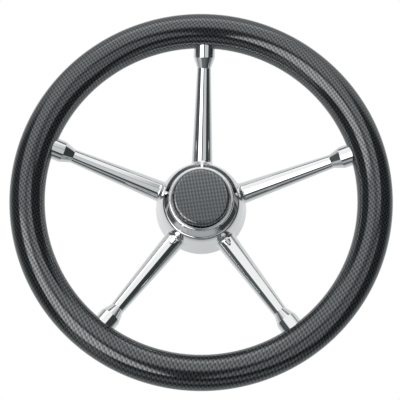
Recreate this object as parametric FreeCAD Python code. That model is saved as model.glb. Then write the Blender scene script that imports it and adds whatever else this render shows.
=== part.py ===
import FreeCAD, Part
import math
import os

# Five-spoke boat steering wheel. The hub and the spokes are polished stainless steel,
# the grip is moulded with a carbon-fibre look on a steel ring, and a press-in cap with
# a carbon-look button closes the front of the hub.
# The shaft axis is Y: the helm is at +Y and the driver at -Y. Z is up, with one spoke
# straight up. The origin is the middle of the boss's rear face, where the shaft enters.
# Sizes are in millimetres and angles in degrees.

Vector = FreeCAD.Vector
shaft_line = Vector(0, 1, 0)

# Rim
rim_diameter = 350.0
grip_diameter = 32.3
core_diameter = 22.0
core_wall = 1.5
rim_offset = 56.5            # rim's mid plane, in front of the boss's rear face

# Spokes
spoke_count = 5
spoke_lean = 18.0            # forward of the plane that is square to the shaft
spoke_joint_diameter = 18.9  # where the spoke is butted to the hub's stub
spoke_neck_diameter = 12.9
flare_length = 10.2
collar_diameter = 20.0
collar_length = 8.0          # from the flare to the grip's surface, along the spoke
spigot_diameter = 12.0
spigot_length = 8.0
spigot_clearance = 0.1
spigot_end_room = 0.5

# Hub shell, a flared bell that is domed at the front and open at the back
hub_length = 40.5
hub_rear_diameter = 86.8
hub_front_diameter = 75.6    # where the straight flare would reach the flat front
hub_wall = 3.0
dome_radius = 32.0
dome_overrun = 14.5          # from the flat front to where the whole dome would end
rear_edge_radius = 1.0
stub_length = 10.4           # from the shell's surface to the butt joint
stub_fillet = 3.2            # also rounds the dome's edge at the flat front

# Boss, with the tapered bore for the helm shaft
shaft_diameter = 19.05
register_length = 4.0
register_clearance = 0.1
taper_length = 25.0
taper_per_length = 1.0 / 12  # change of diameter
boss_diameter = 42.0
web_thickness = 7.0
flange_thickness = 6.0
flange_clearance = 0.3
key_width = 4.76
key_depth = 2.4
boss_edge_radius = 1.0
web_root_radius = 2.0

# Cap
cap_bore_diameter = 54.0     # opening in the shell and pocket in the boss
bezel_diameter = 68.2
bezel_height = 10.1          # without the raised land
bezel_chamfer = 3.8          # across, and its depth along the shaft axis
bezel_chamfer_depth = 3.2
bezel_edge_radius = 0.5
shadow_gap = 1.2
shadow_step = 1.8            # how far the bezel's foot is set back from its rear edge
land_rise = 2.4
land_rounding = 1.8
bezel_opening_diameter = 54.1
opening_edge_radius = 0.3
button_seat_depth = 5.7
cap_floor = 2.5
skirt_length = 7.5
skirt_end_room = 1.0         # from the skirt to the floor of the pocket in the boss
skirt_clearance = 0.25
skirt_wall = 4.0
skirt_end_radius = 0.4
skirt_root_radius = 1.0
seal_cord = 2.4
seal_groove_width = 2.8
seal_setback = 2.3           # middle of the seal, behind the shell's front wall
line_diameter = 56.4         # fine turned line on the land
line_width = 0.6
button_clearance = 0.55
button_height = 15.3
button_crown = 0.12
button_rounding = 5.5
button_wall = 2.8

# Worked out from the sizes above
lean = math.radians(spoke_lean)
rim_radius = (rim_diameter - grip_diameter) / 2
spoke_origin_y = rim_radius * math.tan(lean) - rim_offset
rim_station = rim_radius / math.cos(lean)
seam_turn = 180.0 / spoke_count - 90   # turned solids start half way between two spokes
collar_station = rim_station - grip_diameter / 2 - collar_length
neck_station = collar_station - flare_length

nut_seat_y = -(register_length + taper_length)
hub_front_y = nut_seat_y - skirt_end_room - skirt_length
hub_rear_y = hub_front_y + hub_length
hub_rear_radius = hub_rear_diameter / 2
hub_front_radius = hub_front_diameter / 2
flare_slope = (hub_rear_radius - hub_front_radius) / hub_length
flare_stretch = math.hypot(1, flare_slope)
shell_inner_y = hub_front_y + hub_wall
dome_tip_y = hub_front_y - dome_overrun
dome_centre_y = dome_tip_y + dome_radius

stub_root_radius = hub_front_radius + (spoke_origin_y - hub_front_y) * flare_slope
stub_root_station = stub_root_radius / (math.cos(lean) + flare_slope * math.sin(lean))
joint_station = stub_root_station + stub_length
spoke_taper = (spoke_joint_diameter - spoke_neck_diameter) / 2 / (neck_station - joint_station)

bore_rear_radius = shaft_diameter / 2
bore_front_radius = bore_rear_radius - taper_length * taper_per_length / 2
cap_bore_radius = cap_bore_diameter / 2

bezel_rear_y = hub_front_y - shadow_gap
bezel_front_y = bezel_rear_y - bezel_height
land_y = bezel_front_y - land_rise
button_seat_y = land_y + button_seat_depth
seal_y = shell_inner_y + seal_setback
seal_floor_radius = cap_bore_radius - seal_cord
skirt_radius = cap_bore_radius - skirt_clearance
bezel_radius = bezel_diameter / 2


def turned(corners):
    """A solid turned about the shaft axis.

    Each corner is (radius, y, rounding). A corner with a rounding gets an arc that
    touches both of its sides.
    """
    points = [Vector(radius, y, 0) for radius, y, rounding in corners]
    edges = []
    first_point = None
    last_point = None
    for index, (radius, y, rounding) in enumerate(corners):
        here = points[index]
        to_last = (points[index - 1] - here).normalize()
        to_next = (points[(index + 1) % len(points)] - here).normalize()
        start = here
        end = here
        if rounding > 0:
            half_angle = to_last.getAngle(to_next) / 2
            run = rounding / math.tan(half_angle)
            start = here + to_last * run
            end = here + to_next * run
            middle_line = (to_last + to_next).normalize()
            middle = here + middle_line * (rounding / math.sin(half_angle) - rounding)
        if last_point is not None:
            edges.append(Part.LineSegment(last_point, start).toShape())
        else:
            first_point = start
        if rounding > 0:
            edges.append(Part.Arc(start, middle, end).toShape())
        last_point = end
    edges.append(Part.LineSegment(last_point, first_point).toShape())
    face = Part.Face(Part.Wire(edges))
    solid = face.revolve(Vector(0, 0, 0), shaft_line, 360)
    solid.rotate(Vector(0, 0, 0), shaft_line, seam_turn)
    return solid


def ring(radius, section_radius, y):
    """A full torus round the shaft axis."""
    return Part.makeTorus(radius, section_radius, Vector(0, y, 0), shaft_line)


def on_spoke_line(shape, number):
    """Puts a shape that was made along Z from the origin onto spoke number 0, 1, 2..."""
    placed = shape.copy()
    placed.rotate(Vector(0, 0, 0), Vector(1, 0, 0), spoke_lean)
    placed.translate(Vector(0, spoke_origin_y, 0))
    placed.rotate(Vector(0, 0, 0), shaft_line, number * 360.0 / spoke_count)
    return placed


def taper_radius(station):
    """Radius of the plain tapered stretch of a spoke, at a distance from the shaft axis."""
    return spoke_joint_diameter / 2 - (station - joint_station) * spoke_taper


def flare_radius(y):
    """Radius of the bell's straight flare."""
    return hub_front_radius + (y - hub_front_y) * flare_slope


def dome_radius_at(y, inset):
    """Radius of the bell's dome, or of a surface inside it by an inset."""
    centre_radius = flare_radius(dome_centre_y) - dome_radius * flare_stretch
    return centre_radius + math.sqrt((dome_radius - inset) ** 2 - (y - dome_centre_y) ** 2)


def bell_radius(y):
    """Radius of the bell's outside. The dome touches the flare and runs on forwards."""
    touch_y = dome_centre_y - dome_radius * flare_slope / flare_stretch
    if y < touch_y:
        return dome_radius_at(y, 0)
    return flare_radius(y)


# Rim: a steel tube bent to a ring, and the grip that is moulded over it and the collars

def make_core_blank():
    return ring(rim_radius, core_diameter / 2, -rim_offset)


def make_rim_core():
    inside = ring(rim_radius, core_diameter / 2 - core_wall, -rim_offset)
    return make_core_blank().cut(inside)


def make_collar():
    collar = Part.makeCylinder(collar_diameter / 2, rim_station - collar_station)
    collar.translate(Vector(0, 0, collar_station))
    return collar


def make_rim_grip():
    grip = ring(rim_radius, grip_diameter / 2, -rim_offset)
    grip = grip.cut(make_core_blank())
    sockets = [on_spoke_line(make_collar(), number) for number in range(spoke_count)]
    return grip.cut(sockets)


# Spokes: turned bars with a spigot, a long taper, a flare and a collar coped to the ring

def make_spoke(number):
    spigot = Part.makeCylinder(spigot_diameter / 2, spigot_length)
    spigot.translate(Vector(0, 0, joint_station - spigot_length))
    shank = Part.makeCone(
        spoke_joint_diameter / 2, spoke_neck_diameter / 2, neck_station - joint_station)
    shank.translate(Vector(0, 0, joint_station))
    flare = Part.makeCone(spoke_neck_diameter / 2, collar_diameter / 2, flare_length)
    flare.translate(Vector(0, 0, neck_station))
    bar = spigot.fuse([shank, flare, make_collar()])
    return on_spoke_line(bar, number).cut(make_core_blank())


# Hub shell: a cast bell with five stubs, each blended into it all round

def make_stub():
    inner_station = stub_root_station / 2
    stub = Part.makeCone(
        taper_radius(inner_station), taper_radius(joint_station), joint_station - inner_station)
    stub.translate(Vector(0, 0, inner_station))
    return stub


def make_socket():
    depth = spigot_length + spigot_end_room
    socket = Part.makeCylinder(spigot_diameter / 2 + spigot_clearance, depth)
    socket.translate(Vector(0, 0, joint_station - depth))
    return socket


def is_blended_edge(edge):
    """True for the curves where a stub meets the bell, and for its edge at the flat front."""
    middle = edge.valueAt((edge.FirstParameter + edge.LastParameter) / 2)
    reach = math.hypot(middle.x, middle.z)
    on_bell = abs(reach - bell_radius(middle.y)) < 0.01
    on_front = abs(middle.y - hub_front_y) < 0.01
    is_circle = edge.Curve.TypeId in ("Part::GeomCircle", "Part::GeomLine")
    return on_bell and (on_front or not is_circle)


def make_bell(inset, front_y, rear_y, edge_radius):
    """The bell as a full body with a flat front, or the room inside it by an inset."""
    tip_y = dome_tip_y + inset
    across = inset * flare_stretch
    body = turned([
        (0, tip_y, 0),
        (flare_radius(tip_y) - across, tip_y, dome_radius - inset),
        (flare_radius(rear_y) - across, rear_y, edge_radius),
        (0, rear_y, 0),
    ])
    front = Part.makeCylinder(
        hub_rear_diameter, front_y - tip_y, Vector(0, tip_y, 0), shaft_line)
    return body.cut(front)


def make_hub_shell():
    bell = make_bell(0, hub_front_y, hub_rear_y, rear_edge_radius)
    stubs = [on_spoke_line(make_stub(), number) for number in range(spoke_count)]
    body = bell.fuse(stubs)
    body = body.makeFillet(stub_fillet, [edge for edge in body.Edges if is_blended_edge(edge)])
    inside = make_bell(hub_wall, shell_inner_y, hub_rear_y + hub_wall, 0)
    cap_bore = Part.makeCylinder(
        cap_bore_radius, hub_length, Vector(0, hub_front_y - hub_wall, 0), shaft_line)
    sockets = [on_spoke_line(make_socket(), number) for number in range(spoke_count)]
    return body.cut([inside, cap_bore] + sockets)


# Boss: the tapered bore with its keyway, the nut's seat and a flange against the shell

def make_hub_boss():
    flange_radius = dome_radius_at(shell_inner_y, hub_wall) - flange_clearance
    register_radius = bore_rear_radius + register_clearance
    boss = turned([
        (register_radius, 0, 0),
        (boss_diameter / 2, 0, boss_edge_radius),
        (boss_diameter / 2, nut_seat_y + web_thickness, web_root_radius),
        (flange_radius, shell_inner_y + flange_thickness, 0),
        (flange_radius, shell_inner_y, 0),
        (cap_bore_radius, shell_inner_y, 0),
        (cap_bore_radius, nut_seat_y, 0),
        (bore_front_radius, nut_seat_y, 0),
        (bore_rear_radius, -register_length, 0),
        (register_radius, -register_length, 0),
    ])
    keyway_length = taper_length + register_length
    keyway = Part.makeBox(
        key_width, keyway_length, bore_rear_radius + key_depth,
        Vector(-key_width / 2, -keyway_length, 0))
    return boss.cut(keyway)


# Cap: a turned bezel with a skirt that plugs into the hub, its seal and its button

def make_cap_bezel():
    skirt_end_y = hub_front_y + skirt_length
    skirt_inner_radius = skirt_radius - skirt_wall
    opening_radius = bezel_opening_diameter / 2
    foot_radius = bezel_radius - shadow_step
    land_radius = bezel_radius - bezel_chamfer
    bezel = turned([
        (0, button_seat_y, 0),
        (opening_radius, button_seat_y, 0),
        (opening_radius, land_y, opening_edge_radius),
        (land_radius, land_y, land_rounding),
        (land_radius, bezel_front_y, 0),
        (bezel_radius, bezel_front_y + bezel_chamfer_depth, bezel_edge_radius),
        (bezel_radius, bezel_rear_y, 0),
        (foot_radius, bezel_rear_y, 0),
        (foot_radius, hub_front_y, 0),
        (skirt_radius, hub_front_y, 0),
        (skirt_radius, seal_y - seal_groove_width / 2, 0),
        (seal_floor_radius, seal_y - seal_groove_width / 2, 0),
        (seal_floor_radius, seal_y + seal_groove_width / 2, 0),
        (skirt_radius, seal_y + seal_groove_width / 2, 0),
        (skirt_radius, skirt_end_y, skirt_end_radius),
        (skirt_inner_radius, skirt_end_y, 0),
        (skirt_inner_radius, button_seat_y + cap_floor, skirt_root_radius),
        (0, button_seat_y + cap_floor, 0),
    ])
    return bezel.cut(ring(line_diameter / 2, line_width / 2, land_y))


def make_cap_seal():
    return ring(cap_bore_radius - seal_cord / 2, seal_cord / 2, seal_y)


def make_cap_button():
    radius = bezel_opening_diameter / 2 - button_clearance
    front_y = button_seat_y - button_height
    crown_radius = (radius ** 2 + button_crown ** 2) / (2 * button_crown)
    blank = Part.makeCylinder(
        radius, button_height, Vector(0, front_y, 0), shaft_line)
    crown = Part.makeSphere(crown_radius, Vector(0, front_y + crown_radius, 0))
    button = blank.common(crown)
    outer_edges = [
        edge for edge in button.Edges
        if edge.Curve.TypeId == "Part::GeomCircle" and abs(edge.Curve.Radius - radius) < 0.001]
    front_edge = min(outer_edges, key=lambda edge: edge.CenterOfMass.y)
    button = button.makeFillet(button_rounding, [front_edge])
    hollow = turned([
        (0, front_y + button_wall, 0),
        (radius - button_wall, front_y + button_wall, button_rounding - button_wall),
        (radius - button_wall, button_seat_y, 0),
        (0, button_seat_y, 0),
    ])
    return button.cut(hollow)


os.makedirs("parts", exist_ok=True)
solids = {
    "rim_grip": make_rim_grip(),
    "rim_core": make_rim_core(),
    "hub_shell": make_hub_shell(),
    "hub_boss": make_hub_boss(),
    "cap_bezel": make_cap_bezel(),
    "cap_seal": make_cap_seal(),
    "cap_button": make_cap_button(),
}
for number in range(spoke_count):
    solids["spoke_%d" % (number + 1)] = make_spoke(number)

for name, solid in solids.items():
    solid.exportStep("parts/%s.step" % name)
    print(name, "volume %.1f cm3" % (solid.Volume / 1000), "solids", len(solid.Solids))
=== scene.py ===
import math
import bmesh
import bpy
import numpy as np
from mathutils import Matrix, Vector


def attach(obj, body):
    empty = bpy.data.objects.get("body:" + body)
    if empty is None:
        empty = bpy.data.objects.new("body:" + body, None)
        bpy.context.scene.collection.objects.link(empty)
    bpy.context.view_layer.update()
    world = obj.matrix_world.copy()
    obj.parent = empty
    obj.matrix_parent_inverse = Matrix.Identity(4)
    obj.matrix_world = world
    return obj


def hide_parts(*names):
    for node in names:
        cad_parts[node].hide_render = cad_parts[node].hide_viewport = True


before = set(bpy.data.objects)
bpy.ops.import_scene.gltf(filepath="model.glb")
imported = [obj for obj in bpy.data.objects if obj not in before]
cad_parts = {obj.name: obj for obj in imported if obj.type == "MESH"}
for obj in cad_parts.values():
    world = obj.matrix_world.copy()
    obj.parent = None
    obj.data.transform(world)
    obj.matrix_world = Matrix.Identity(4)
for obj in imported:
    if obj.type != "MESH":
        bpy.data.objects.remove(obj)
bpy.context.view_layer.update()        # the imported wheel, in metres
print("wheel loaded with", len(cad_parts), "CAD nodes")

# The helm is at +Y and the driver at -Y, and one spoke points straight up.
# Sizes of the pieces are in millimetres here and become metres in makePiece.
wheel = {
    "spokes": 5,
    "rimRadius": 158.85,         # shaft axis to the middle of the grip
    "rimY": -56.5,
    "gripRadius": 16.15,
    "coreRadius": 11.0,          # steel ring inside the grip
    "lean": math.radians(18.0),  # of the spokes, towards the driver
    "jointRadius": 9.45,         # where a spoke butts against the hub's stub
    "neckRadius": 6.45,
    "collarRadius": 10.0,
    "flareLength": 10.2,
    "collarLength": 8.0,
    "spigotRadius": 6.0,
    "spigotLength": 8.0,
    "hubFrontY": -37.5,
    "hubRearY": 3.0,
    "hubFrontRadius": 37.8,
    "hubRearRadius": 43.4,
    "stubLength": 10.4,
}
wheel["originY"] = wheel["rimRadius"] * math.tan(wheel["lean"]) + wheel["rimY"]
hubDepth = wheel["hubRearY"] - wheel["hubFrontY"]
wheel["flare"] = (wheel["hubRearRadius"] - wheel["hubFrontRadius"]) / hubDepth

# Distances along a spoke's own line, from the shaft axis
rootRadius = wheel["hubFrontRadius"] + (wheel["originY"] - wheel["hubFrontY"]) * wheel["flare"]
rootFall = math.cos(wheel["lean"]) + wheel["flare"] * math.sin(wheel["lean"])
wheel["stubRoot"] = rootRadius / rootFall
wheel["joint"] = wheel["stubRoot"] + wheel["stubLength"]
wheel["rimStation"] = wheel["rimRadius"] / math.cos(wheel["lean"])
wheel["collar"] = wheel["rimStation"] - wheel["gripRadius"] - wheel["collarLength"]
wheel["neck"] = wheel["collar"] - wheel["flareLength"]
wheel["taper"] = (wheel["jointRadius"] - wheel["neckRadius"]) / (wheel["neck"] - wheel["joint"])


# Surfaces: each one is a grid of points worked out from two parameters

surface = {
    "mergeDistance": 0.0000015,  # metres; the patches' edges meet closer than this
    "guard": 0.04,               # from a rounding to the point that keeps the flat beside it flat
    "stepAngle": 6.0,            # degrees that one step of a rounding turns through
    "ringSteps": 8,              # Newton's steps to a point on a ring
    "ballSteps": 12,             # and to the middle of a rolling ball,
    "slopeStep": 0.001,          # whose slope is measured over this
}


def surfacePatch(points, closed=False, film=None):
    # Cell (i, j) joins points (i, j), (i, j+1), (i+1, j+1) and (i+1, j); closed joins the last
    # column to the first. film is where each point lies on the flat printed film.
    rows, columns = points.shape[:2]
    cells = columns if closed else columns - 1
    row, column = np.meshgrid(np.arange(rows - 1), np.arange(cells), indexing="ij")
    here = row * columns + column
    beside = row * columns + (column + 1) % columns
    quads = np.stack([here, beside, beside + columns, here + columns], axis=-1).reshape(-1, 4)
    patch = {"points": points.reshape(-1, 3), "quads": quads}
    if film is not None:
        patch["film"] = film.reshape(-1, 2)
    return patch


def makePiece(name, patches, material, replaced, crease=28.0):
    # Joins the patches, merges their shared edges and turns the faces outwards
    starts = np.cumsum([0] + [len(patch["points"]) for patch in patches[:-1]])
    points = np.concatenate([patch["points"] for patch in patches]) * 0.001
    quads = np.concatenate([patch["quads"] + start for patch, start in zip(patches, starts)])
    mesh = bpy.data.meshes.new(name)
    mesh.vertices.add(len(points))
    mesh.vertices.foreach_set("co", points.astype(np.float32).ravel())
    mesh.loops.add(quads.size)
    mesh.loops.foreach_set("vertex_index", quads.astype(np.int32).ravel())
    mesh.polygons.add(len(quads))
    mesh.polygons.foreach_set("loop_start", np.arange(0, quads.size, 4, dtype=np.int32))
    mesh.update(calc_edges=True)
    if "film" in patches[0]:
        film = np.concatenate([patch["film"] for patch in patches])
        layer = mesh.uv_layers.new(name="film")
        layer.data.foreach_set("uv", film[quads.ravel()].astype(np.float32).ravel())
    solid = bmesh.new()
    solid.from_mesh(mesh)
    bmesh.ops.remove_doubles(solid, verts=solid.verts, dist=surface["mergeDistance"])
    bmesh.ops.recalc_face_normals(solid, faces=solid.faces)
    openEdges = sum(1 for edge in solid.edges if not edge.is_manifold)
    solid.to_mesh(mesh)
    solid.free()
    mesh.polygons.foreach_set("use_smooth", np.ones(len(mesh.polygons), dtype=bool))
    mesh.set_sharp_from_angle(angle=math.radians(crease))
    mesh.materials.append(material)
    piece = bpy.data.objects.new(name, mesh)
    bpy.context.scene.collection.objects.link(piece)
    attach(piece, "root")
    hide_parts(replaced)
    print(name, "made:", len(mesh.polygons), "faces,", openEdges, "open edges")


def roundedProfile(corners, guard=surface["guard"], stepAngle=surface["stepAngle"]):
    # Each corner is (radius, y, rounding). A rounding becomes an arc that touches both sides: it
    # starts rounding / tan(half angle) from the corner, and its points are the weighted sum
    # sin((1-t)s) and sin(ts) of its two end spokes, where s is the angle it turns through.
    # A guard point each side keeps the flat beside the arc flat in its shading.
    line = np.array([corner[:2] for corner in corners], float)
    stretches = []
    for index, corner in enumerate(corners):
        here = line[index]
        back = line[index - 1] - here
        ahead = line[(index + 1) % len(corners)] - here
        rounding = corner[2]
        if rounding == 0:
            stretches.append(here[None])
            continue
        back = back / np.linalg.norm(back)
        ahead = ahead / np.linalg.norm(ahead)
        half = math.acos(float(np.clip(back @ ahead, -1, 1))) / 2
        start = here + back * rounding / math.tan(half)
        end = here + ahead * rounding / math.tan(half)
        bisector = (back + ahead) / np.linalg.norm(back + ahead)
        centre = here + bisector * rounding / math.sin(half)
        sweep = math.pi - 2 * half
        steps = max(3, math.ceil(math.degrees(sweep) / stepAngle))
        share = np.linspace(0, 1, steps + 1)[:, None]
        fromStart = (start - centre) * np.sin((1 - share) * sweep)
        fromEnd = (end - centre) * np.sin(share * sweep)
        arc = centre + (fromStart + fromEnd) / math.sin(sweep)
        stretches.append(np.vstack([start + back * guard, arc, end + ahead * guard]))
    return np.vstack(stretches)


def turnedSurface(profile, cells):
    # x = r sin A, z = r cos A for every profile point (r, y) and every azimuth A
    azimuth = np.radians(np.arange(cells) * 360.0 / cells)
    radius = profile[:, :1]
    height = np.broadcast_to(profile[:, 1:2], (len(profile), cells))
    points = np.stack([radius * np.sin(azimuth), height, radius * np.cos(azimuth)], axis=-1)
    return surfacePatch(points, closed=True)


def onSpoke(across, behind, along, number):
    # A point of spoke number 0, 1, 2...: the spoke stands on Z, leans towards the driver by the
    # lean, is moved along the shaft axis to where its line starts, and turns round that axis
    lean = wheel["lean"]
    turn = math.radians(number * 360.0 / wheel["spokes"])
    y = behind * math.cos(lean) - along * math.sin(lean) + wheel["originY"]
    reach = behind * math.sin(lean) + along * math.cos(lean)
    x = across * math.cos(turn) + reach * math.sin(turn)
    z = reach * math.cos(turn) - across * math.sin(turn)
    return np.stack(np.broadcast_arrays(x, y, z), axis=-1)


def stationOnRing(across, behind, tube):
    # Distance along the spoke's line at which it meets a ring of that tube radius: Newton's
    # steps on (rho - R)^2 + (y - rimY)^2 = tube^2
    lean = wheel["lean"]
    along = wheel["rimStation"] - np.sqrt(np.maximum(tube ** 2 - behind ** 2, 0.01))
    for _ in range(surface["ringSteps"]):
        point = onSpoke(across, behind, along, 0)
        rho = np.hypot(point[..., 0], point[..., 2])
        depth = point[..., 1] - wheel["rimY"]
        miss = (rho - wheel["rimRadius"]) ** 2 + depth ** 2 - tube ** 2
        slope = 2 * (rho - wheel["rimRadius"]) * point[..., 2] / rho * math.cos(lean)
        slope = slope - 2 * depth * math.sin(lean)
        along = along - miss / slope
    return along


def windowEdge(halfAlong, halfAcross):
    # Steps of the grid round a rectangular window, counted from its middle
    side = np.arange(-halfAlong, halfAlong)
    rise = np.arange(-halfAcross, halfAcross)
    endAlong = np.full(len(rise), halfAlong)
    endAcross = np.full(len(side), halfAcross)
    along = np.concatenate([side, endAlong, -side, -endAlong])
    across = np.concatenate([-endAcross, rise, endAcross, -rise])
    return along.astype(float), across.astype(float)


# Materials

def addNode(tree, kind, inputs=None, **settings):
    node = tree.nodes.new(kind)
    for key, value in settings.items():
        setattr(node, key, value)
    for key, value in (inputs or {}).items():
        if isinstance(value, bpy.types.NodeSocket):
            tree.links.new(value, node.inputs[key])
        else:
            node.inputs[key].default_value = value
    return node


def calc(tree, operation, first, second=0.0, third=0.0, clamp=False):
    node = addNode(tree, "ShaderNodeMath", {0: first, 1: second, 2: third}, operation=operation)
    node.use_clamp = clamp
    return node.outputs[0]


def vectorCalc(tree, operation, inputs):
    return addNode(tree, "ShaderNodeVectorMath", inputs, operation=operation)


def spread(tree, value, fromLow, fromHigh, toLow, toHigh, smooth=False):
    limits = {"From Min": fromLow, "From Max": fromHigh, "To Min": toLow, "To Max": toHigh}
    node = addNode(tree, "ShaderNodeMapRange", {"Value": value, **limits})
    node.interpolation_type = "SMOOTHSTEP" if smooth else "LINEAR"
    return node.outputs["Result"]


def blendValues(tree, share, first, second):
    return addNode(tree, "ShaderNodeMix", {0: share, 2: first, 3: second}).outputs[0]


def blendColours(tree, share, first, second):
    node = addNode(tree, "ShaderNodeMix", {0: share, 6: first, 7: second}, data_type="RGBA")
    return node.outputs[2]


noiseSpan = (0.3, 0.7)       # where nearly all of a noise's values lie


def noise(tree, place, scale, detail=2.0, roughness=0.5):
    node = addNode(tree, "ShaderNodeTexNoise", {
        "Vector": place, "Scale": scale, "Detail": detail, "Roughness": roughness})
    return node.outputs["Fac"]


def applyFinish(tree, shader, tone, roughness, height, strength, depth):
    # Joins a tone, a roughness and a relief to the shader
    relief = {"Height": height, "Strength": strength, "Distance": depth}
    bump = addNode(tree, "ShaderNodeBump", relief)
    tree.links.new(tone, shader.inputs["Base Color"])
    tree.links.new(roughness, shader.inputs["Roughness"])
    tree.links.new(bump.outputs[0], shader.inputs["Normal"])


def newMaterial(name, settings):
    material = bpy.data.materials.new(name)
    material.use_nodes = True
    tree = material.node_tree
    shader = tree.nodes["Principled BSDF"]
    for key, value in settings.items():
        shader.inputs[key].default_value = value
    place = addNode(tree, "ShaderNodeTexCoord")
    return material, tree, shader, place


polish = {
    "brightTone": (0.915, 0.922, 0.925, 1.0),
    "paleTone": (0.885, 0.897, 0.902, 1.0),
    "toneScale": 45.0,           # per metre
    "smearScale": 135.0,
    "roughnessLow": 0.022,
    "roughnessHigh": 0.05,
    "buffScale": 900.0,          # fine lines that the mop leaves
    "buffStretch": 0.12,         # how much coarser they are along the shaft axis
    "buffStrength": 0.12,
    "buffDepth": 0.000002,
}


def makePolishedStainless():
    # Mirror finish: two near steel tones, a roughness that drifts, and the mop's faint lines
    material, tree, shader, place = newMaterial("polishedStainless", {"Metallic": 1.0})
    spot = place.outputs["Object"]
    drift = noise(tree, spot, polish["toneScale"], detail=3.0)
    tone = blendColours(tree, drift, polish["brightTone"], polish["paleTone"])
    smear = noise(tree, spot, polish["smearScale"], detail=4.0, roughness=0.6)
    roughness = spread(tree, smear, *noiseSpan, polish["roughnessLow"], polish["roughnessHigh"])
    scale = (1.0, polish["buffStretch"], 1.0)
    stretch = addNode(tree, "ShaderNodeMapping", {"Vector": spot, "Scale": scale})
    lines = noise(tree, stretch.outputs[0], polish["buffScale"])
    applyFinish(tree, shader, tone, roughness, lines, polish["buffStrength"], polish["buffDepth"])
    return material


turning = {
    "brightTone": (0.66, 0.66, 0.655, 1.0),
    "dullTone": (0.52, 0.525, 0.53, 1.0),
    "feed": 2400.0,              # tool marks per metre
    "markShare": 0.6,            # how much of the tone they make; stains make the rest
    "markStrength": 0.5,
    "markDepth": 0.00002,
    "stainScale": 60.0,
    "roughnessLow": 0.2,
    "roughnessHigh": 0.34,
}


def makeTurnedSteel(name, settings):
    # Turned finish: the tool marks are rings, so their noise reads only the distance from the
    # shaft axis and the height along it
    material, tree, shader, place = newMaterial(name, {"Metallic": 1.0})
    spot = place.outputs["Object"]
    apart = addNode(tree, "ShaderNodeSeparateXYZ", {0: spot})
    squareX = calc(tree, "POWER", apart.outputs[0], 2.0)
    squareZ = calc(tree, "POWER", apart.outputs[2], 2.0)
    radius = calc(tree, "SQRT", calc(tree, "ADD", squareX, squareZ))
    ringSpot = addNode(tree, "ShaderNodeCombineXYZ", {0: radius, 1: apart.outputs[1], 2: 0.0})
    marks = noise(tree, ringSpot.outputs[0], settings["feed"])
    stain = noise(tree, spot, settings["stainScale"], detail=4.0)
    fromMarks = calc(tree, "MULTIPLY", marks, settings["markShare"])
    share = calc(tree, "MULTIPLY_ADD", stain, 1 - settings["markShare"], fromMarks)
    tone = blendColours(tree, share, settings["dullTone"], settings["brightTone"])
    roughness = spread(tree, stain, *noiseSpan, settings["roughnessLow"], settings["roughnessHigh"])
    applyFinish(tree, shader, tone, roughness, marks, settings["markStrength"], settings["markDepth"])
    return material


weave = {
    "coatRoughness": 0.025,
    "relief": 0.15,              # how strongly the tows show through the coat
    "reliefDepth": 0.00005,
}

gripLook = {
    "darkTow": (0.018, 0.0206, 0.022, 1.0),
    "lightTow": (0.13, 0.1415, 0.1475, 1.0),
    "warp": (2.72, 1.95, 0.0),           # tows per centimetre of film, across each of the two
    "weft": (1.90, -2.93, 0.0),          # families of diagonals
    "share": (0.56, 0.43, 0.33),         # how much the warp, the weft and their sum show
    "phase": (0.0, 0.0, 88.0),           # where those three start, in degrees
    "metallic": 0.88,                    # the rest is matt print
    "roughnessLow": 0.12,
    "roughnessHigh": 0.2,
    "coat": 1.0,
    "coatIor": 1.54,
    "edgeTint": (0.3, 0.3, 0.3, 1.0),    # dims what the tows reflect at a glancing angle
    "wander": 0.018,                     # centimetres, because the tows are not quite straight
    "wanderScale": 0.8,
}

buttonLook = {
    "darkTow": (0.104, 0.1125, 0.116, 1.0),
    "lightTow": (0.230, 0.246, 0.252, 1.0),
    "warp": (339.7, 0.0, 67.6),          # here in tows per metre of the face
    "weft": (41.5, 0.0, -287.8),
    "share": (0.53, 0.35, 0.22),
    "phase": (32.0, 46.0, 152.0),
    "metallic": 0.9,
    "roughnessLow": 0.17,
    "roughnessHigh": 0.23,
    "coat": 0.6,
    "coatIor": 1.5,
    "edgeTint": (0.2, 0.2, 0.2, 1.0),
    "wander": 0.00016,                   # metres
    "wanderScale": 80.0,
}


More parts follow.
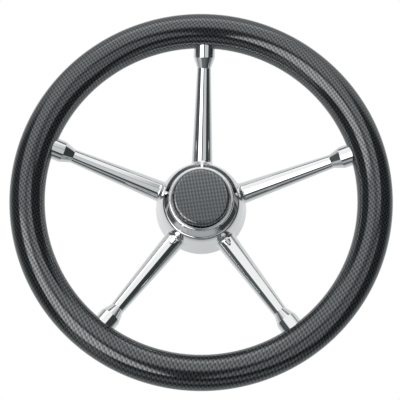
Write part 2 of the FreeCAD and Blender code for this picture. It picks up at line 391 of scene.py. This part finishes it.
def makeWeave(name, source, look):
    # Carbon look under a clear gloss coat. With a and b the two phases 2 pi (p . warp) and
    # 2 pi (p . weft), cos a + cos b is high on light tows and low on dark ones, and
    # cos(a + b) draws the line between neighbouring tows.
    material, tree, shader, place = newMaterial(name, {
        "Metallic": look["metallic"],
        "Specular Tint": look["edgeTint"],
        "Coat Weight": look["coat"],
        "Coat Roughness": weave["coatRoughness"],
        "Coat IOR": look["coatIor"],
    })
    spot = place.outputs[source]
    wander = {"Vector": spot, "Scale": look["wanderScale"], "Detail": 1.0}
    drift = addNode(tree, "ShaderNodeTexNoise", wander).outputs["Color"]
    centred = vectorCalc(tree, "SUBTRACT", {0: drift, 1: (0.5, 0.5, 0.5)}).outputs[0]
    shift = vectorCalc(tree, "SCALE", {0: centred, "Scale": look["wander"]}).outputs[0]
    moved = vectorCalc(tree, "ADD", {0: spot, 1: shift}).outputs[0]
    phases = []
    for direction in (look["warp"], look["weft"]):
        turns = vectorCalc(tree, "DOT_PRODUCT", {0: moved, 1: direction}).outputs["Value"]
        phases.append(calc(tree, "MULTIPLY", turns, 2 * math.pi))
    phases.append(calc(tree, "ADD", phases[0], phases[1]))
    share = 0.5
    for phase, start, amount in zip(phases, look["phase"], look["share"]):
        wave = calc(tree, "COSINE", calc(tree, "ADD", phase, math.radians(start)))
        share = calc(tree, "MULTIPLY_ADD", wave, amount, share)
    share = calc(tree, "ADD", share, 0.0, clamp=True)
    tone = blendColours(tree, share, look["darkTow"], look["lightTow"])
    roughness = spread(tree, share, 0.0, 1.0, look["roughnessHigh"], look["roughnessLow"])
    applyFinish(tree, shader, tone, roughness, share, weave["relief"], weave["reliefDepth"])
    return material


rubber = {
    "darkTone": (0.022, 0.022, 0.023, 1.0),
    "bloomTone": (0.04, 0.04, 0.041, 1.0),   # where the wax has come to the surface
    "bloomScale": 90.0,
    "grainScale": 1400.0,
    "grainStrength": 0.3,
    "grainDepth": 0.00003,
    "roughnessLow": 0.6,
    "roughnessHigh": 0.78,
    "shine": 0.35,
}


def makeRubber():
    material, tree, shader, place = newMaterial("sealRubber", {"Specular IOR Level": rubber["shine"]})
    spot = place.outputs["Object"]
    grain = noise(tree, spot, rubber["grainScale"], detail=3.0)
    bloom = noise(tree, spot, rubber["bloomScale"], detail=3.0)
    tone = blendColours(tree, bloom, rubber["darkTone"], rubber["bloomTone"])
    roughness = spread(tree, grain, *noiseSpan, rubber["roughnessLow"], rubber["roughnessHigh"])
    applyFinish(tree, shader, tone, roughness, grain, rubber["grainStrength"], rubber["grainDepth"])
    return material


drawing = {**turning, "feed": 700.0, "roughnessLow": 0.32, "roughnessHigh": 0.5}
polishedStainless = makePolishedStainless()
turnedStainless = makeTurnedSteel("turnedStainless", turning)
drawnTube = makeTurnedSteel("drawnTube", drawing)
gripWeave = makeWeave("gripCarbonLook", "UV", gripLook)
buttonWeave = makeWeave("buttonCarbonLook", "Object", buttonLook)
sealRubber = makeRubber()
print("materials made")


# Grip: a ring with five sockets for the spokes' collars and a hollow for the steel ring

grip = {
    "alongCells": 600,
    "acrossCells": 80,
    "hollowAlongCells": 300,
    "hollowAcrossCells": 60,
    "window": (10, 13),          # half size of the patch round a collar, in cells
    "rings": (0.0, 0.01, 0.06, 0.14, 0.25, 0.38, 0.52, 0.68, 0.84, 1.0),
    "gap": 0.12,                 # between the grip and a collar
    "lip": 0.45,                 # rounding of the socket's edge
    "lipRows": 7,
    "straight": 0.1,             # straight stretch after that rounding
    "filmSlackFrom": -2.0,       # centimetres up the film, below which it is stretched
    "filmSlack": 0.0233,         # share by which its scale drops for each centimetre further down
}
socketAngle = math.pi - wheel["lean"]    # where a spoke's line meets the section of the ring


def ringPoint(azimuth, section, tube):
    # rho = R + tube cos B and y = rimY + tube sin B; B is 0 on the outside, -90 degrees in front
    rho = wheel["rimRadius"] + tube * np.cos(section)
    y = wheel["rimY"] + tube * np.sin(section)
    return np.stack([rho * np.sin(azimuth), y, rho * np.cos(azimuth)], axis=-1)


def filmPoint(azimuth, section):
    # The film is laid on flat from the front and from the back: a point at section angle B lies
    # R + gripRadius (pi/2 - |B|) from the film's middle. Below filmSlackFrom it is stretched: its
    # height grows by filmSlack / 2 times the square of the depth below that. Centimetres.
    wrapped = np.abs(np.arctan2(np.sin(section), np.cos(section)))
    reach = (wheel["rimRadius"] + wheel["gripRadius"] * (math.pi / 2 - wrapped)) / 10
    height = reach * np.cos(azimuth)
    below = np.maximum(grip["filmSlackFrom"] - height, 0.0)
    height = height + grip["filmSlack"] / 2 * below ** 2
    return np.stack([reach * np.sin(azimuth), height], axis=-1)


def socketCircle(angle, radius, tube, number, depth=0.0):
    # Points of a circle about the spoke's line, carried along it to the ring's surface
    across = radius * np.cos(angle)
    behind = -radius * np.sin(angle)
    along = stationOnRing(across, behind, tube) + depth
    return onSpoke(across, behind, along, number)


def ringSkin(tube, alongCells, acrossCells, socketRadius, angle):
    # The whole ring as a grid, less a window round each socket, and a patch in each window whose
    # rows go from the socket's circle to the window's edge
    azimuth, section = np.meshgrid(
        np.arange(alongCells) * 2 * np.pi / alongCells,
        np.arange(acrossCells) * 2 * np.pi / acrossCells, indexing="ij")
    halfAlong, halfAcross = grip["window"]
    perSpoke = alongCells // wheel["spokes"]
    middle = round(socketAngle / (2 * math.pi) * acrossCells)
    fromSpoke = (np.arange(alongCells) + perSpoke // 2) % perSpoke - perSpoke // 2
    fromMiddle = np.arange(acrossCells) - middle
    insideAlong = (fromSpoke >= -halfAlong) & (fromSpoke < halfAlong)
    insideAcross = (fromMiddle >= -halfAcross) & (fromMiddle < halfAcross)
    kept = ~(insideAlong[:, None] & insideAcross[None, :])
    here = np.arange(alongCells)[:, None] * acrossCells + np.arange(acrossCells)[None, :]
    ahead = np.roll(here, -1, axis=0)
    beside = np.roll(here, -1, axis=1)
    opposite = np.roll(ahead, -1, axis=1)
    quads = np.stack([here, beside, opposite, ahead], axis=-1)[kept]
    points = ringPoint(azimuth, section, tube).reshape(-1, 3)
    film = filmPoint(azimuth, section).reshape(-1, 2)
    patches = [{"points": points, "quads": quads, "film": film}]
    edgeAlong, edgeAcross = windowEdge(halfAlong, halfAcross)
    share = np.array(grip["rings"])[:, None]
    for number in range(wheel["spokes"]):
        start = number * 2 * math.pi / wheel["spokes"]
        edgeAzimuth = start + edgeAlong * 2 * np.pi / alongCells
        edgeSection = (middle + edgeAcross) * 2 * np.pi / acrossCells
        circle = socketCircle(angle, socketRadius, tube, number)
        circleAzimuth = np.arctan2(circle[:, 0], circle[:, 2])
        circleAzimuth = start + np.angle(np.exp(1j * (circleAzimuth - start)))
        rho = np.hypot(circle[:, 0], circle[:, 2]) - wheel["rimRadius"]
        circleSection = np.arctan2(circle[:, 1] - wheel["rimY"], rho) % (2 * np.pi)
        azimuthGrid = circleAzimuth + (edgeAzimuth - circleAzimuth) * share
        sectionGrid = circleSection + (edgeSection - circleSection) * share
        points = ringPoint(azimuthGrid, sectionGrid, tube)
        patches.append(surfacePatch(points, closed=True, film=filmPoint(azimuthGrid, sectionGrid)))
    return patches


def makeGrip():
    # The outer skin, the skin of the hollow, and between the two a wall round each collar whose
    # lip is a quarter circle: radius socket + lip (1 - sin T), depth lip (1 - cos T)
    halfAlong, halfAcross = grip["window"]
    edgeAlong, edgeAcross = windowEdge(halfAlong, halfAcross)
    innerRadius = wheel["rimRadius"] - wheel["gripRadius"]
    angle = np.arctan2(edgeAcross * wheel["gripRadius"] / grip["acrossCells"],
                       edgeAlong * innerRadius / grip["alongCells"])
    socketRadius = wheel["collarRadius"] + grip["gap"]
    skin = ringSkin(wheel["gripRadius"], grip["alongCells"], grip["acrossCells"],
                    socketRadius + grip["lip"], angle)
    hollow = ringSkin(wheel["coreRadius"], grip["hollowAlongCells"], grip["hollowAcrossCells"],
                      socketRadius, angle)
    walls = []
    quarter = np.radians(np.linspace(0, 90, grip["lipRows"]))
    for number in range(wheel["spokes"]):
        rows = []
        for turn in quarter:
            radius = socketRadius + grip["lip"] * (1 - math.sin(turn))
            depth = grip["lip"] * (1 - math.cos(turn))
            rows.append(socketCircle(angle, radius, wheel["gripRadius"], number, depth))
        depth = grip["lip"] + grip["straight"]
        rows.append(socketCircle(angle, socketRadius, wheel["gripRadius"], number, depth))
        rows.append(socketCircle(angle, socketRadius, wheel["coreRadius"], number))
        points = np.stack(rows)
        reach = np.hypot(points[..., 0], points[..., 2])
        film = filmPoint(np.arctan2(points[..., 0], points[..., 2]),
                         np.arctan2(points[..., 1] - wheel["rimY"], reach - wheel["rimRadius"]))
        walls.append(surfacePatch(points, closed=True, film=film))
    patches = skin + hollow + walls
    makePiece("grip", patches, gripWeave, "rim_grip", crease=40.0)


makeGrip()


# Spokes: turned bars with a spigot at the hub and a collar coped to the steel ring

spoke = {
    "cells": 112,
    "spigotEdge": 0.4,
    "jointEdge": 0.06,
    "creaseRounding": 0.35,      # at the neck and at both ends of the flare
    "copeRings": 10,
}


def makeSpoke(number):
    # (r, s) profile turned about the spoke's line; at the far end s follows the steel ring
    profile = roundedProfile([
        (0.0, wheel["joint"] - wheel["spigotLength"], 0),
        (wheel["spigotRadius"], wheel["joint"] - wheel["spigotLength"], spoke["spigotEdge"]),
        (wheel["spigotRadius"], wheel["joint"], 0),
        (wheel["jointRadius"], wheel["joint"], spoke["jointEdge"]),
        (wheel["neckRadius"], wheel["neck"], spoke["creaseRounding"]),
        (wheel["collarRadius"], wheel["collar"], spoke["creaseRounding"]),
        (wheel["collarRadius"], wheel["rimStation"] - wheel["gripRadius"], 0),
    ])
    turn = np.radians(np.arange(spoke["cells"]) * 360.0 / spoke["cells"])
    copeRadius = wheel["collarRadius"] * np.linspace(1, 0, spoke["copeRings"] + 1)[:, None]
    copeAcross = copeRadius * np.cos(turn)
    copeBehind = copeRadius * np.sin(turn)
    copeStation = stationOnRing(copeAcross, copeBehind, wheel["coreRadius"])
    radius = np.vstack([profile[:, :1], copeRadius])
    barStation = np.broadcast_to(profile[:, 1:2], (len(profile), len(turn)))
    station = np.vstack([barStation, copeStation])
    points = onSpoke(radius * np.cos(turn), radius * np.sin(turn), station, number)
    name = "spokeBar%d" % (number + 1)
    makePiece(name, [surfacePatch(points, closed=True)], polishedStainless,
              "spoke_%d" % (number + 1))


for number in range(wheel["spokes"]):
    makeSpoke(number)


# Hub bell: a flared shell, domed in front, with five stubs that are blended into it all round

bell = {
    "cells": 240,                # round the axis
    "windowRows": 28,            # along the outside
    "windowFront": 1.8,          # margins that the windows leave at both ends of the outside
    "windowRear": 1.4,
    "rings": (0.0, 0.006, 0.03, 0.07, 0.13, 0.2, 0.28, 0.37, 0.47, 0.58, 0.69, 0.8, 0.9,
              0.985, 1.0),       # from the fillet's edge to the window's, closer at both ends
    "fillet": 3.2,
    "filletRows": 16,
    "stubRows": 5,
    "stubGuard": 0.012,          # share of the stub that keeps its shading straight at the fillet
    "domeRadius": 32.0,
    "domeOverrun": 14.5,         # from the flat front to where the whole dome would end
    "frontEdge": 3.2,
    "wall": 3.0,
    "insideRows": 16,
    "insideEnd": 1.0,            # from the last of them to the rear
    "boreRadius": 27.0,
    "boreEdge": 0.3,
    "rearEdge": 1.0,
    "rearInnerEdge": 0.25,
    "stepAngle": 5.0,
    "socketRadius": 6.1,
    "socketDepth": 8.5,
}


def flareRadius(y):
    return wheel["hubFrontRadius"] + (y - wheel["hubFrontY"]) * wheel["flare"]


bell["lean"] = math.atan(wheel["flare"])     # of the flare's normal, towards the driver
bell["domeY"] = wheel["hubFrontY"] - bell["domeOverrun"] + bell["domeRadius"]
bell["domeReach"] = flareRadius(bell["domeY"]) - bell["domeRadius"] / math.cos(bell["lean"])


def bellRadius(y, inset=0.0):
    # r = domeReach + sqrt(domeRadius^2 - (y - domeY)^2) in front of the line where the dome
    # touches the flare, and a straight cone behind it; both can be moved inwards
    dome = bell["domeRadius"] - inset
    touchY = bell["domeY"] - dome * math.sin(bell["lean"])
    inDome = np.sqrt(np.maximum(dome ** 2 - (y - bell["domeY"]) ** 2, 0.0))
    onFlare = flareRadius(y) - inset / math.cos(bell["lean"])
    return np.where(y < touchY, bell["domeReach"] + inDome, onFlare)


def bellPoint(azimuth, y):
    radius = bellRadius(y)
    return np.stack([radius * np.sin(azimuth), y + 0 * azimuth, radius * np.cos(azimuth)], axis=-1)


def bellNormal(rho, y):
    # In the dome's stretch the normal points away from the dome's middle circle; it never leans
    # less than the flare's own normal does. Returns its lean, and the distance to the bell.
    lean = np.maximum(np.arctan2(bell["domeY"] - y, rho - bell["domeReach"]), bell["lean"])
    offMiddle = (rho - bell["domeReach"]) * np.cos(lean) - (y - bell["domeY"]) * np.sin(lean)
    return lean, offMiddle - bell["domeRadius"]


def stubRadius(station):
    return wheel["jointRadius"] - (station - wheel["joint"]) * wheel["taper"]


def ballCentres(angle):
    # Middle of a ball that rolls round the stub and touches both it and the bell: on the stub's
    # cone moved out by the ball's radius, at the station that is as far from the bell
    ball = bell["fillet"]
    stubOut = ball * math.hypot(1, wheel["taper"])

    def miss(station):
        radius = stubRadius(station) + stubOut
        centre = onSpoke(radius * np.cos(angle), radius * np.sin(angle), station, 0)
        distance = bellNormal(np.hypot(centre[:, 0], centre[:, 2]), centre[:, 1])[1]
        return distance - ball, centre

    station = np.full(len(angle), wheel["stubRoot"] + ball)
    small = surface["slopeStep"]
    for _ in range(surface["ballSteps"]):
        error = miss(station)[0]
        stepped = miss(station + small)[0]
        station = station - error * small / (stepped - error)
    return miss(station)[1]


def turnRound(points, number):
    turn = math.radians(number * 360.0 / wheel["spokes"])
    x = points[..., 0] * math.cos(turn) + points[..., 2] * math.sin(turn)
    z = points[..., 2] * math.cos(turn) - points[..., 0] * math.sin(turn)
    return np.stack([x, points[..., 1], z], axis=-1)


def makeBell():
    frontY = wheel["hubFrontY"] + bell["windowFront"]
    rearY = wheel["hubRearY"] - bell["windowRear"]
    innerY = wheel["hubFrontY"] + bell["wall"]
    insideY = np.linspace(innerY, bell["domeY"], bell["insideRows"])
    insideY = np.append(insideY, wheel["hubRearY"] - bell["insideEnd"])
    inside = [(radius, y, 0) for radius, y in zip(bellRadius(insideY, bell["wall"]), insideY)]
    rearInnerRadius = float(bellRadius(wheel["hubRearY"], bell["wall"]))
    profile = roundedProfile([
        (float(bellRadius(frontY)), frontY, 0),
        (float(bellRadius(wheel["hubFrontY"])), wheel["hubFrontY"], bell["frontEdge"]),
        (bell["boreRadius"], wheel["hubFrontY"], bell["boreEdge"]),
        (bell["boreRadius"], innerY, 0),
        *inside,
        (rearInnerRadius, wheel["hubRearY"], bell["rearInnerEdge"]),
        (wheel["hubRearRadius"], wheel["hubRearY"], bell["rearEdge"]),
        (float(bellRadius(rearY)), rearY, 0),
    ], stepAngle=bell["stepAngle"])
    patches = [turnedSurface(profile, bell["cells"])]

    # One fifth of the outside is a window. The fillet in it is the path of a rolling ball: its
    # points lie on an arc about the ball's centre, between the two points that the ball touches.
    perSpoke = bell["cells"] // wheel["spokes"]
    edgeAlong, edgeAcross = windowEdge(perSpoke // 2, bell["windowRows"] // 2)
    edgeAzimuth = np.radians(edgeAlong * 360.0 / bell["cells"])
    edgeY = (frontY + rearY) / 2 + edgeAcross / bell["windowRows"] * (rearY - frontY)
    rootY = wheel["originY"] - wheel["stubRoot"] * math.sin(wheel["lean"])
    angle = np.arctan2(edgeY - rootY, edgeAzimuth * bellRadius(rootY))
    centre = ballCentres(angle)
    rho = np.hypot(centre[:, 0], centre[:, 2])
    outwards = bellNormal(rho, centre[:, 1])[0]
    offBell = np.stack([centre[:, 0] / rho * np.cos(outwards), -np.sin(outwards),
                        centre[:, 2] / rho * np.cos(outwards)], axis=-1)
    narrowing = math.atan(wheel["taper"])
    base = onSpoke(0.0, 0.0, 0.0, 0)
    tip = onSpoke(np.cos(angle) * math.cos(narrowing), np.sin(angle) * math.cos(narrowing),
                  math.sin(narrowing), 0)
    offStub = tip - base
    sweep = np.arccos(np.clip((offBell * offStub).sum(axis=1), -1, 1))[:, None]
    share = np.linspace(0, 1, bell["filletRows"] + 1)[:, None, None]
    normal = offBell * np.sin((1 - share) * sweep) + offStub * np.sin(share * sweep)
    fillet = centre - normal / np.sin(sweep) * bell["fillet"]

    # Rows from the fillet's edge to the window's edge
    rootCircle = fillet[0]
    rootAzimuth = np.arctan2(rootCircle[:, 0], rootCircle[:, 2])
    ringShare = np.array(bell["rings"])[:, None]
    azimuth = rootAzimuth + (edgeAzimuth - rootAzimuth) * ringShare
    height = rootCircle[:, 1] + (edgeY - rootCircle[:, 1]) * ringShare
    side = bellPoint(azimuth, height)

    # The stub from the fillet to the butt joint, and the socket for the spoke's spigot
    lean = wheel["lean"]
    joint = wheel["joint"]
    top = fillet[-1] - base
    station = top[:, 2] * math.cos(lean) - top[:, 1] * math.sin(lean)
    rows = np.linspace(0, 1, bell["stubRows"] + 1)
    rowShare = np.concatenate([[0, bell["stubGuard"]], rows[1:]])[:, None]
    stubStation = station + (joint - station) * rowShare
    radius = stubRadius(stubStation)
    stub = onSpoke(radius * np.cos(angle), radius * np.sin(angle), stubStation, 0)
    floorStation = joint - bell["socketDepth"]
    socketRadius = bell["socketRadius"]
    radius = np.array([wheel["jointRadius"], socketRadius, socketRadius, 0.0])[:, None]
    station = np.array([joint, joint, floorStation, floorStation])[:, None]
    socket = onSpoke(radius * np.cos(angle), radius * np.sin(angle), station, 0)
    for number in range(wheel["spokes"]):
        for points in (side, fillet, stub, socket):
            patches.append(surfacePatch(turnRound(points, number), closed=True))
    makePiece("hubBell", patches, polishedStainless, "hub_shell")


makeBell()


# Cap: a turned bezel and its button

cap = {
    "cells": 256,
    "guard": 0.02,
    "bezelRearY": -38.7,
    "bezelFrontY": -48.8,
    "bezelRadius": 34.1,
    "bezelChamfer": 3.8,         # across, and its depth below
    "chamferDepth": 3.2,
    "bezelEdge": 0.5,
    "landY": -51.2,
    "landRounding": 1.8,
    "landRoot": 0.1,
    "openingRadius": 27.05,
    "openingEdge": 0.3,
    "seatY": -45.5,              # where the button's foot stands
    "seatRoot": 0.2,
    "floor": 2.5,
    "floorRoot": 1.0,
    "footRadius": 32.3,          # set back, for the shadow line between bezel and hub
    "footEdge": 0.15,
    "skirtRadius": 26.75,
    "skirtWall": 4.0,
    "skirtEndY": -30.0,
    "skirtOuterEdge": 0.4,
    "skirtInnerEdge": 0.1,
    "sealY": -32.2,
    "sealGroove": 2.8,
    "sealFloorRadius": 24.6,
    "lineRadius": 28.2,          # fine turned line on the land
    "lineWidth": 0.6,
    "lineFloor": 0.4,            # share of the width
    "lineEdge": 0.05,
    "lineRoot": 0.12,
}

button = {
    "radius": 26.5,
    "frontY": -60.8,
    "crown": 0.12,
    "crownRows": 40,
    "rounding": 3.6,
    "roundingRows": 26,
    "straight": 0.05,            # straight stretch after the rounding
    "wall": 2.8,
    "footEdge": 0.2,
}


def groove(radius, y, width):
    # Corners of a fine round-bottomed line in a face that is square to the shaft
    half = width / 2
    floor = half * cap["lineFloor"]
    return [
        (radius - half, y, cap["lineEdge"]),
        (radius - floor, y + half, cap["lineRoot"]),
        (radius + floor, y + half, cap["lineRoot"]),
        (radius + half, y, cap["lineEdge"]),
    ]


def makeBezel():
    # The bezel and its skirt in one profile, from the middle of the seat round to the middle of
    # the floor behind it
    landRadius = cap["bezelRadius"] - cap["bezelChamfer"]
    innerRadius = cap["skirtRadius"] - cap["skirtWall"]
    floorY = cap["seatY"] + cap["floor"]
    sealFrontY = cap["sealY"] - cap["sealGroove"] / 2
    sealRearY = cap["sealY"] + cap["sealGroove"] / 2
    profile = roundedProfile([
        (0.0, cap["seatY"], 0),
        (cap["openingRadius"], cap["seatY"], cap["seatRoot"]),
        (cap["openingRadius"], cap["landY"], cap["openingEdge"]),
        *groove(cap["lineRadius"], cap["landY"], cap["lineWidth"]),
        (landRadius, cap["landY"], cap["landRounding"]),
        (landRadius, cap["bezelFrontY"], cap["landRoot"]),
        (cap["bezelRadius"], cap["bezelFrontY"] + cap["chamferDepth"], cap["bezelEdge"]),
        (cap["bezelRadius"], cap["bezelRearY"], cap["footEdge"]),
        (cap["footRadius"], cap["bezelRearY"], cap["footEdge"]),
        (cap["footRadius"], wheel["hubFrontY"], 0),
        (cap["skirtRadius"], wheel["hubFrontY"], 0),
        (cap["skirtRadius"], sealFrontY, 0),
        (cap["sealFloorRadius"], sealFrontY, 0),
        (cap["sealFloorRadius"], sealRearY, 0),
        (cap["skirtRadius"], sealRearY, 0),
        (cap["skirtRadius"], cap["skirtEndY"], cap["skirtOuterEdge"]),
        (innerRadius, cap["skirtEndY"], cap["skirtInnerEdge"]),
        (innerRadius, floorY, cap["floorRoot"]),
        (0.0, floorY, 0),
    ], guard=cap["guard"])
    makePiece("capBezel", [turnedSurface(profile, cap["cells"])],
              polishedStainless, "cap_bezel")


def makeButton():
    # The crown is part of a large ball, r = ball sin T and y = ballY - ball cos T, and the
    # edge's arc touches both the ball and the side
    radius = button["radius"]
    rounding = button["rounding"]
    ball = (radius ** 2 + button["crown"] ** 2) / (2 * button["crown"])
    ballY = button["frontY"] + ball
    tilt = math.asin((radius - rounding) / (ball - rounding))
    turn = np.linspace(0, tilt, button["crownRows"])
    crown = np.stack([ball * np.sin(turn), ballY - ball * np.cos(turn)], axis=-1)
    turn = np.linspace(tilt, math.pi / 2, button["roundingRows"])[1:]
    edgeRadius = radius - rounding
    edgeY = ballY - (ball - rounding) * math.cos(tilt)
    edge = np.stack([edgeRadius + rounding * np.sin(turn), edgeY - rounding * np.cos(turn)], axis=-1)
    side = [[radius, edgeY + button["straight"]]]
    innerRadius = radius - button["wall"]
    innerFrontY = button["frontY"] + button["wall"]
    inside = roundedProfile([
        (radius, cap["seatY"], button["footEdge"]),
        (innerRadius, cap["seatY"], button["footEdge"]),
        (innerRadius, innerFrontY, rounding - button["wall"]),
        (0.0, innerFrontY, 0),
        (radius, button["frontY"] + rounding, 0),    # only closes the outline
    ])[:-1]
    profile = np.vstack([crown, edge, side, inside])
    makePiece("capButton", [turnedSurface(profile, cap["cells"])],
              buttonWeave, "cap_button", crease=40.0)


makeBezel()
makeButton()

# Parts that keep their CAD shape and only get a better finish

carriedOver = {"hub_boss": turnedStainless, "rim_core": drawnTube, "cap_seal": sealRubber}
for nodeName, material in carriedOver.items():
    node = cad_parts[nodeName]
    node.data.materials.clear()
    node.data.materials.append(material)
print("CAD nodes finished")


# Light tent, camera and floor

tent = {
    "darkLeft": 0.087,                   # behind the camera, where no card stands
    "darkRight": 0.042,
    "darkBlend": 20.0,                   # degrees each side over which they run into each other
    "backdrop": 0.709,
    "backdropSlope": (-0.00025, 0.00057),    # its change for a degree to the right and upwards
    "backdropFrom": (85.0, 132.0),       # degrees off the line from the wheel to the driver
    "plain": 0.9,                        # level that matt surfaces get
    "cool": (1.05, 1.0, 0.985),          # powers that tint the dark parts
    # left, right, low and high edge in degrees off the driver's line, softness, brightness, and
    # how far the left and right edges move for each degree upwards. A later card covers an earlier.
    "cards": {
        "upper": (-93.9, 119.5, 48.8, 112.2, 24.4, 0.70, 0.81, -0.02),
        "top": (-48.0, 30.0, 8.5, 64.0, 6.0, 0.95, -0.15, 0.22),
        "lowerLeft": (-47.5, -7.5, -39.5, 7.5, 4.0, 2.1, 0.03, -0.05),
        "lowerRight": (0.0, 44.0, -39.0, 5.0, 4.0, 0.60, 0.2, 0.0),
        "low": (-62.0, 48.0, -81.0, -60.0, 14.0, 0.40, -0.5, 0.8),
        "lowLeft": (-66.0, -33.0, -67.0, -43.0, 8.0, 0.5, 0.0, 0.0),
        "sill": (-9.0, 8.0, 4.0, 12.5, 4.0, 0.43, 0.0, 0.0),
        "ceiling": (-39.7, 11.7, 55.9, 76.5, 6.7, 1.45, 0.61, 1.2),
    },
}


def makeTent():
    # A direction d is read as an angle off the driver's line, acos(-dy), laid out to the right
    # and up in proportion to dx and dz. Each card is a soft-edged shape in that layout: its left
    # and right edges stand at edge + lean (up - low).
    world = bpy.data.worlds.new("lightTent")
    bpy.context.scene.world = world
    world.use_nodes = True
    tree = world.node_tree
    tree.nodes.clear()
    place = addNode(tree, "ShaderNodeTexCoord")
    apart = addNode(tree, "ShaderNodeSeparateXYZ", {0: place.outputs["Generated"]})
    towards = calc(tree, "MULTIPLY", apart.outputs[1], -1.0)
    off = calc(tree, "MULTIPLY", calc(tree, "ARCCOSINE", towards), 180 / math.pi)
    squareX = calc(tree, "POWER", apart.outputs[0], 2.0)
    squareZ = calc(tree, "POWER", apart.outputs[2], 2.0)
    reach = calc(tree, "MAXIMUM", calc(tree, "SQRT", calc(tree, "ADD", squareX, squareZ)), 0.0001)
    perReach = calc(tree, "DIVIDE", off, reach)
    right = calc(tree, "MULTIPLY", perReach, apart.outputs[0])
    up = calc(tree, "MULTIPLY", perReach, apart.outputs[2])
    blend = tent["darkBlend"]
    level = spread(tree, right, -blend, blend, tent["darkLeft"], tent["darkRight"], smooth=True)
    backdrop = calc(tree, "MULTIPLY_ADD", right, tent["backdropSlope"][0], tent["backdrop"])
    backdrop = calc(tree, "MULTIPLY_ADD", up, tent["backdropSlope"][1], backdrop)
    behind = spread(tree, off, *tent["backdropFrom"], 0.0, 1.0, smooth=True)
    level = blendValues(tree, behind, level, backdrop)
    for left, rightEdge, low, high, soft, brightness, leanLeft, leanRight in tent["cards"].values():
        half = soft / 2
        rise = calc(tree, "SUBTRACT", up, low)
        fromLeft = calc(tree, "MULTIPLY_ADD", rise, -leanLeft, right)
        fromRight = calc(tree, "MULTIPLY_ADD", rise, -leanRight, right)
        mask = 1.0
        sides = ((fromLeft, left, half), (fromRight, rightEdge, -half))
        ends = ((up, low, half), (up, high, -half))
        for value, edge, side in sides + ends:
            ramp = spread(tree, value, edge - side, edge + side, 0.0, 1.0, smooth=True)
            mask = calc(tree, "MULTIPLY", mask, ramp)
        level = blendValues(tree, mask, level, brightness)
    channels = [calc(tree, "POWER", level, power) for power in tent["cool"]]
    tint = addNode(tree, "ShaderNodeCombineColor", {0: channels[0], 1: channels[1], 2: channels[2]})
    ray = addNode(tree, "ShaderNodeLightPath")
    plainTone = (tent["plain"], tent["plain"], tent["plain"], 1.0)
    colour = blendColours(tree, ray.outputs["Is Glossy Ray"], plainTone, tint.outputs[0])
    seen = calc(tree, "MAXIMUM", ray.outputs["Is Camera Ray"], ray.outputs["Is Transmission Ray"])
    colour = blendColours(tree, seen, colour, (1.0, 1.0, 1.0, 1.0))
    background = addNode(tree, "ShaderNodeBackground", {"Color": colour, "Strength": 1.0})
    addNode(tree, "ShaderNodeOutputWorld", {"Surface": background.outputs[0]})


camera = {
    "position": (0.00551, -1.21125, -0.22462),
    "target": (-0.00093, -0.0565, -0.00217),
    "roll": (-0.0214, -0.1892, 0.9817),      # the upright of the picture
    "lens": 115.92,
    "sensor": 36.0,
    "nearest": 0.05,
    "farthest": 50.0,
}


def makeCamera():
    data = bpy.data.cameras.new("photoCamera")
    data.lens = camera["lens"]
    data.sensor_width = camera["sensor"]
    data.clip_start = camera["nearest"]
    data.clip_end = camera["farthest"]
    place = bpy.data.objects.new("photoCamera", data)
    bpy.context.scene.collection.objects.link(place)
    position = Vector(camera["position"])
    forward = (Vector(camera["target"]) - position).normalized()
    sideways = forward.cross(Vector(camera["roll"])).normalized()
    upright = sideways.cross(forward)
    turn = Matrix((sideways, upright, -forward)).transposed().to_4x4()
    place.matrix_world = Matrix.Translation(position) @ turn
    bpy.context.scene.camera = place


stage = {
    "floorZ": -0.30,
    "floorSize": 6.0,
    "floorTones": ((0.90, 0.90, 0.90, 1.0), (0.93, 0.93, 0.93, 1.0)),
    "floorCloud": 6.0,
    "floorRoughness": 0.9,
    "floorShine": 0.1,
    "lampPlace": (-0.5, -0.9, 1.5),
    "lampSize": 1.2,
    "lampPower": 18.0,
}


def makeStage():
    # The floor and the lamp are left out of reflections, because the tent stands for both there
    mesh = bpy.data.meshes.new("floor")
    half = stage["floorSize"] / 2
    low = stage["floorZ"]
    corners = [(-half, -half, low), (half, -half, low), (half, half, low), (-half, half, low)]
    mesh.from_pydata(corners, [], [(0, 1, 2, 3)])
    material, tree, shader, place = newMaterial("paleFloor", {
        "Roughness": stage["floorRoughness"],
        "Specular IOR Level": stage["floorShine"],
    })
    cloud = noise(tree, place.outputs["Object"], stage["floorCloud"], detail=3.0)
    tone = blendColours(tree, cloud, *stage["floorTones"])
    tree.links.new(tone, shader.inputs["Base Color"])
    mesh.materials.append(material)
    floor = bpy.data.objects.new("floor", mesh)
    bpy.context.scene.collection.objects.link(floor)
    floor.visible_glossy = False
    lamp = bpy.data.lights.new("softLamp", "AREA")
    lamp.size = stage["lampSize"]
    lamp.energy = stage["lampPower"]
    lampPlace = bpy.data.objects.new("softLamp", lamp)
    bpy.context.scene.collection.objects.link(lampPlace)
    position = Vector(stage["lampPlace"])
    lampPlace.location = position
    lampPlace.rotation_euler = (-position).to_track_quat("-Z", "Y").to_euler()
    lampPlace.visible_glossy = False


makeTent()
makeCamera()
makeStage()
bpy.context.scene.view_settings.view_transform = "Standard"
print("tent, camera and floor made")
